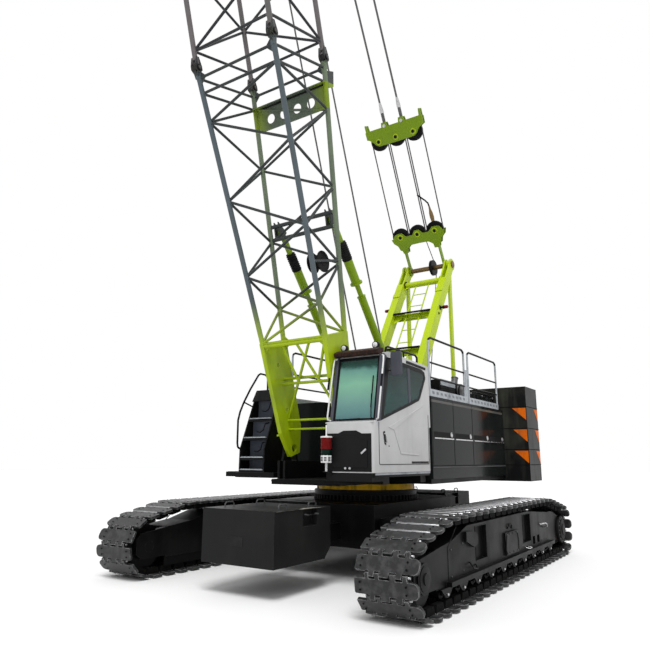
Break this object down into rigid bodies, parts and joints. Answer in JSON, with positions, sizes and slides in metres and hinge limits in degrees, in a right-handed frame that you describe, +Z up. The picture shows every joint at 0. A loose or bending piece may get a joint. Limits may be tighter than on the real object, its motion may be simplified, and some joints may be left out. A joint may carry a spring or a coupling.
{
  "type": "lattice-boom crawler crane",
  "caption": "Crawler crane with a pinned lattice boom, gantry and pendants, slewing upperworks with cab and machinery housings, on two tracks.",
  "frame": {"origin": "on the ground, on the slewing axis", "axes": "+X towards the machine's front, +Y to its left (the cab's side), +Z up"},
  "size_m": [14.6516, 5.882, 29.3316],
  "materials": {
    "black_paint": "satin",
    "boom_paint": "satin",
    "brass": "worn",
    "charcoal_paint": "gloss",
    "glass": "clear",
    "green_paint": "satin",
    "grey_paint": "satin",
    "lamp_plastic": "gloss",
    "lime_paint": "satin",
    "seat_cloth": "matt",
    "steel": "worn",
    "track_steel": "worn"
  },
  "bodies": {
    "undercarriage": {"carbody": "black_paint", "carbody_weights": "black_paint", "drive_sprockets": "black_paint", "idler_wheels": "black_paint", "slew_ring": "brass", "track_frame_left": "black_paint", "track_frame_right": "black_paint", "track_left": "track_steel", "track_right": "track_steel", "track_rollers": "black_paint"},
    "boom": {"boom_butt": "lime_paint", "boom_insert_1": "boom_paint", "boom_insert_2": "boom_paint", "boom_insert_3": "boom_paint", "boom_head": "boom_paint", "head_sheaves": "steel", "cable_reel": "black_paint"},
    "lower_tackle": {"lower_tackle": "green_paint", "lower_tackle_sheaves": "steel"},
    "upper_rigging": {"upper_spreader": "green_paint", "upper_spreader_sheaves": "steel", "pendants": "steel"},
    "backstop_tubes": {"backstop_tubes": "black_paint"},
    "backstop_rods": {"backstop_rods": "steel"},
    "hook_block": {"hook_block": "steel", "hook": "steel", "hoist_falls": "steel"},
    "housing_door_left_1": {"housing_door_left_1": "charcoal_paint"},
    "housing_door_left_2": {"housing_door_left_2": "charcoal_paint"},
    "housing_door_left_3": {"housing_door_left_3": "charcoal_paint"},
    "housing_door_left_4": {"housing_door_left_4": "charcoal_paint"},
    "housing_door_right_3": {"housing_door_right_3": "charcoal_paint"},
    "housing_door_right_4": {"housing_door_right_4": "charcoal_paint"},
    "upperworks": {"access_steps": "black_paint", "cab_door": "grey_paint", "cab_fittings": "black_paint", "cab_glass": "glass", "cab_interior": "seat_cloth", "cab_shell": "grey_paint", "counterweight_blocks": "charcoal_paint", "engine": "black_paint", "gantry_legs": "lime_paint", "gantry_shaft": "brass", "gantry_sheave": "brass", "gantry_struts": "lime_paint", "gantry_walkways": "black_paint", "guard_rails": "steel", "housing_left": "charcoal_paint", "housing_right": "charcoal_paint", "lamp_column": "lamp_plastic", "marker_lamps": "black_paint", "right_platform": "black_paint", "roof_machinery": "steel", "slewing_frame": "black_paint", "winch_drums": "steel"}
  },
  "joints": [
    {"name": "slew", "type": "hinge", "parent": "undercarriage", "child": "upperworks", "pos_m": [0, 0, 1.3705], "axis": [0, 0, 1], "continuous": true},
    {"name": "luff", "type": "hinge", "parent": "upperworks", "child": "boom", "pos_m": [1.583, 0, 2.123], "axis": [0, -1, 0], "range_deg": [-40, 7]},
    {"name": "tackle_swing", "type": "hinge", "parent": "upperworks", "child": "lower_tackle", "pos_m": [-3.325, 0, 6.739], "axis": [0, -1, 0], "range_deg": [-40.4, 7.5]},
    {"name": "tackle_run", "type": "slide", "parent": "lower_tackle", "child": "upper_rigging", "axis": [0.469, 0, 0.8832], "range_m": [-0.86, 4.66]},
    {"name": "backstop_swing", "type": "hinge", "parent": "upperworks", "child": "backstop_tubes", "pos_m": [-0.5, 0, 3.05], "axis": [0, -1, 0], "range_deg": [-31.3, 5.9]},
    {"name": "backstop_run", "type": "slide", "parent": "backstop_tubes", "child": "backstop_rods", "axis": [0.6401, 0, 0.7682], "range_m": [-0.26, 1.4]},
    {"name": "hook_hang", "type": "hinge", "parent": "boom", "child": "hook_block", "pos_m": [9.4303, 0, 29.0016], "axis": [0, -1, 0], "range_deg": [-7.5, 40.5]},
    {"name": "housing_door_left_1_hinge", "type": "hinge", "parent": "upperworks", "child": "housing_door_left_1", "pos_m": [0.32, 1.6, 2.4275], "axis": [0, 0, -1], "range_deg": [0, 90]},
    {"name": "housing_door_left_2_hinge", "type": "hinge", "parent": "upperworks", "child": "housing_door_left_2", "pos_m": [-0.683, 1.6, 2.4275], "axis": [0, 0, -1], "range_deg": [0, 90]},
    {"name": "housing_door_left_3_hinge", "type": "hinge", "parent": "upperworks", "child": "housing_door_left_3", "pos_m": [-1.686, 1.6, 2.4275], "axis": [0, 0, -1], "range_deg": [0, 90]},
    {"name": "housing_door_left_4_hinge", "type": "hinge", "parent": "upperworks", "child": "housing_door_left_4", "pos_m": [-2.689, 1.6, 2.4275], "axis": [0, 0, -1], "range_deg": [0, 90]},
    {"name": "housing_door_right_3_hinge", "type": "hinge", "parent": "upperworks", "child": "housing_door_right_3", "pos_m": [-1.686, -1.6, 2.4275], "axis": [0, 0, 1], "range_deg": [0, 90]},
    {"name": "housing_door_right_4_hinge", "type": "hinge", "parent": "upperworks", "child": "housing_door_right_4", "pos_m": [-2.689, -1.6, 2.4275], "axis": [0, 0, 1], "range_deg": [0, 90]}
  ],
  "couplings": [
    {"joint": "tackle_swing", "follows": "luff", "ratio": 0.9977},
    {"joint": "tackle_run", "follows": "luff", "m_per_rad": -6.6091},
    {"joint": "backstop_swing", "follows": "luff", "ratio": 0.7707},
    {"joint": "backstop_run", "follows": "luff", "m_per_rad": -1.9767},
    {"joint": "hook_hang", "follows": "luff", "ratio": -1}
  ]
}
